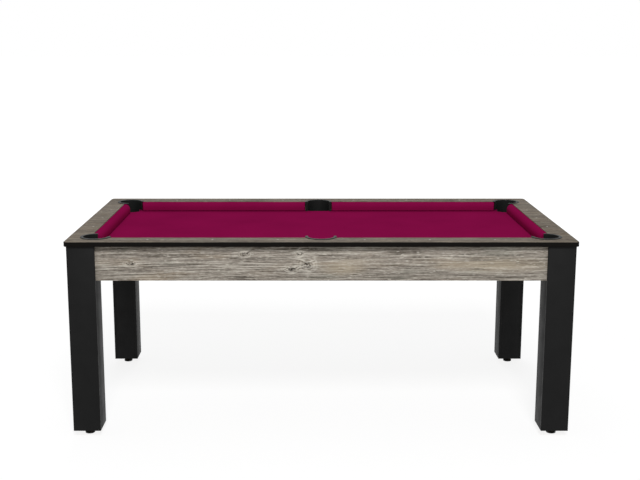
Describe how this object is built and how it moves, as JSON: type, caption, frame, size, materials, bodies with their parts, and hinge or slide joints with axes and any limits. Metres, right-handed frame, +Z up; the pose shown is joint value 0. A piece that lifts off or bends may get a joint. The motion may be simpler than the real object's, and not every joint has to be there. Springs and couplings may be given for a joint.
{
  "type": "convertible pool table",
  "caption": "Rectangular pool table at dining height: grey wood rails round a crimson cloth bed with drop pockets, on square black box legs with screw feet.",
  "frame": {"origin": "on the floor under the centre of the table, which is the bottom centre of its box", "axes": "+X along the table, +Y from the long side seen in front towards the back, +Z up"},
  "size_m": [2.06, 1.13, 0.8259],
  "materials": {
    "grey_wood_laminate": "satin",
    "black_edge": "satin",
    "black_leg_board": "satin",
    "crimson_cloth": "matte",
    "slate": "matte",
    "softwood": "matte",
    "black_pocket_plastic": "satin",
    "brass": "satin",
    "zinc_steel": "satin",
    "black_foot_plastic": "matte"
  },
  "bodies": {
    "root": {"rail_board": "grey_wood_laminate", "edge_band": "black_edge", "apron_front": "grey_wood_laminate", "apron_back": "grey_wood_laminate", "apron_left": "grey_wood_laminate", "apron_right": "grey_wood_laminate", "leg_front_left": "black_leg_board", "leg_front_right": "black_leg_board", "leg_back_left": "black_leg_board", "leg_back_right": "black_leg_board", "slate_bed": "slate", "bed_cloth": "crimson_cloth", "slate_beam_1": "softwood", "slate_beam_2": "softwood", "slate_beam_3": "softwood", "slate_beam_4": "softwood", "cushion_front_left": "crimson_cloth", "cushion_front_right": "crimson_cloth", "cushion_back_left": "crimson_cloth", "cushion_back_right": "crimson_cloth", "cushion_left_end": "crimson_cloth", "cushion_right_end": "crimson_cloth", "rail_strip_front_left": "softwood", "rail_strip_front_right": "softwood", "rail_strip_back_left": "softwood", "rail_strip_back_right": "softwood", "rail_strip_left_end": "softwood", "rail_strip_right_end": "softwood", "pocket_front_left": "black_pocket_plastic", "pocket_front_middle": "black_pocket_plastic", "pocket_front_right": "black_pocket_plastic", "pocket_back_left": "black_pocket_plastic", "pocket_back_middle": "black_pocket_plastic", "pocket_back_right": "black_pocket_plastic", "leg_bolt_front_left_side": "zinc_steel", "leg_bolt_front_left_end": "zinc_steel", "leg_bolt_front_right_side": "zinc_steel", "leg_bolt_front_right_end": "zinc_steel", "leg_bolt_back_left_side": "zinc_steel", "leg_bolt_back_left_end": "zinc_steel", "leg_bolt_back_right_side": "zinc_steel", "leg_bolt_back_right_end": "zinc_steel", "leg_plug_front_left": "softwood", "leg_plug_front_right": "softwood", "leg_plug_back_left": "softwood", "leg_plug_back_right": "softwood", "thread_sleeve_front_left": "brass", "thread_sleeve_front_right": "brass", "thread_sleeve_back_left": "brass", "thread_sleeve_back_right": "brass"},
    "foot_front_left": {"foot_pad_front_left": "black_foot_plastic"},
    "foot_front_right": {"foot_pad_front_right": "black_foot_plastic"},
    "foot_back_left": {"foot_pad_back_left": "black_foot_plastic"},
    "foot_back_right": {"foot_pad_back_right": "black_foot_plastic"},
    "stem_front_left": {"foot_stem_front_left": "zinc_steel"},
    "stem_front_right": {"foot_stem_front_right": "zinc_steel"},
    "stem_back_left": {"foot_stem_back_left": "zinc_steel"},
    "stem_back_right": {"foot_stem_back_right": "zinc_steel"}
  },
  "joints": [
    {"name": "front_left_foot_height", "type": "slide", "parent": "root", "child": "foot_front_left", "axis": [0, 0, -1], "range_m": [-0.0065, 0.015]},
    {"name": "front_right_foot_height", "type": "slide", "parent": "root", "child": "foot_front_right", "axis": [0, 0, -1], "range_m": [-0.0065, 0.015]},
    {"name": "back_left_foot_height", "type": "slide", "parent": "root", "child": "foot_back_left", "axis": [0, 0, -1], "range_m": [-0.0065, 0.015]},
    {"name": "back_right_foot_height", "type": "slide", "parent": "root", "child": "foot_back_right", "axis": [0, 0, -1], "range_m": [-0.0065, 0.015]},
    {"name": "front_left_stem_turn", "type": "hinge", "parent": "foot_front_left", "child": "stem_front_left", "pos_m": [-0.964, -0.495, 0.03], "axis": [0, 0, -1], "range_deg": [-1565, 3605]},
    {"name": "front_right_stem_turn", "type": "hinge", "parent": "foot_front_right", "child": "stem_front_right", "pos_m": [0.964, -0.495, 0.03], "axis": [0, 0, -1], "range_deg": [-1565, 3605]},
    {"name": "back_left_stem_turn", "type": "hinge", "parent": "foot_back_left", "child": "stem_back_left", "pos_m": [-0.964, 0.495, 0.03], "axis": [0, 0, -1], "range_deg": [-1565, 3605]},
    {"name": "back_right_stem_turn", "type": "hinge", "parent": "foot_back_right", "child": "stem_back_right", "pos_m": [0.964, 0.495, 0.03], "axis": [0, 0, -1], "range_deg": [-1565, 3605]}
  ],
  "couplings": [
    {"joint": "front_left_stem_turn", "follows": "front_left_foot_height", "rad_per_m": 4188.8},
    {"joint": "front_right_stem_turn", "follows": "front_right_foot_height", "rad_per_m": 4188.8},
    {"joint": "back_left_stem_turn", "follows": "back_left_foot_height", "rad_per_m": 4188.8},
    {"joint": "back_right_stem_turn", "follows": "back_right_foot_height", "rad_per_m": 4188.8}
  ]
}
